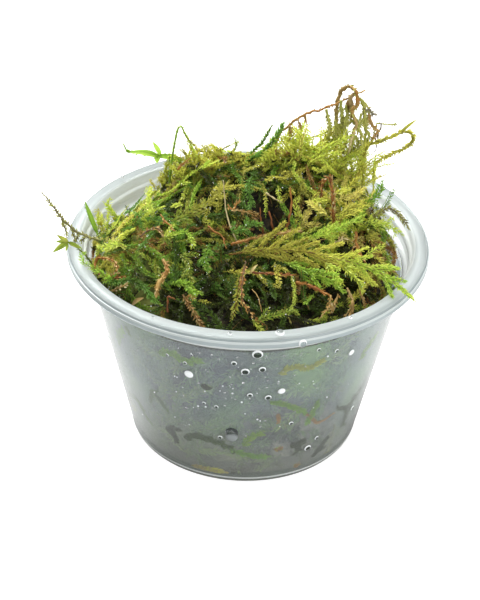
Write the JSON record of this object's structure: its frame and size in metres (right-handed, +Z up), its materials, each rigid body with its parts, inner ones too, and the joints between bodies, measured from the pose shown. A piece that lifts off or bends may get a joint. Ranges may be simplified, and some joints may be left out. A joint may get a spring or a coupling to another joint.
{
  "type": "moss clump",
  "caption": "Clump of wet green moss heaped in a clear round plastic cup, with loose leafy shoots and dry brown stems standing out of it.",
  "frame": {"origin": "centre of the cup's flat underside, on the surface that the cup stands on", "axes": "+Z up along the cup's axis; the moss is highest towards +X and +Y"},
  "size_m": [0.0829, 0.078, 0.0781],
  "materials": {
    "clear_cup": "slightly milky clear polypropylene",
    "moss_green": "wet tangled moss, dark between the shoots",
    "moss_leafy": "wet leafy moss shoot, yellow-green at the tip",
    "moss_dry": "brown leafless moss stem"
  },
  "bodies": {
    "root": {"arch_stem": "moss_dry", "bent_shoot": "moss_dry", "bright_shoot": "moss_leafy", "brown_shoot": "moss_dry", "brown_stick_a": "moss_dry", "brown_stick_b": "moss_dry", "brown_upright": "moss_dry", "cup": "clear_cup", "dark_shoot": "moss_leafy", "dark_side_shoot": "moss_leafy", "dark_twig": "moss_dry", "feather_lower_side": "moss_leafy", "feather_shoot": "moss_leafy", "feather_tip_side": "moss_leafy", "feather_upper_side": "moss_leafy", "fern_shoot": "moss_leafy", "fringe_shoot_1": "moss_leafy", "fringe_shoot_2": "moss_leafy", "fringe_shoot_3": "moss_leafy", "fringe_shoot_4": "moss_leafy", "fringe_shoot_5": "moss_leafy", "fringe_shoot_6": "moss_leafy", "hanging_shoot": "moss_leafy", "hooked_shoot": "moss_leafy", "leafy_tip": "moss_leafy", "loop_shoot": "moss_leafy", "low_root": "moss_dry", "moss_heap": "moss_green", "orange_stem": "moss_dry", "pale_shoot_left": "moss_leafy", "pale_shoot_right": "moss_leafy", "pale_tuft_a": "moss_leafy", "pale_tuft_b": "moss_leafy", "red_stick": "moss_dry", "red_twig": "moss_dry", "rim_shoot": "moss_leafy", "small_shoot_right": "moss_leafy", "spike_left": "moss_leafy", "straw_stem": "moss_dry", "string_back": "moss_dry", "string_right": "moss_dry", "string_twig": "moss_dry", "thin_arch": "moss_leafy", "wisp": "moss_dry", "yellow_shoot_left": "moss_leafy", "yellow_shoot_right": "moss_leafy", "yellow_shoot_top": "moss_leafy"}
  },
  "joints": []
}
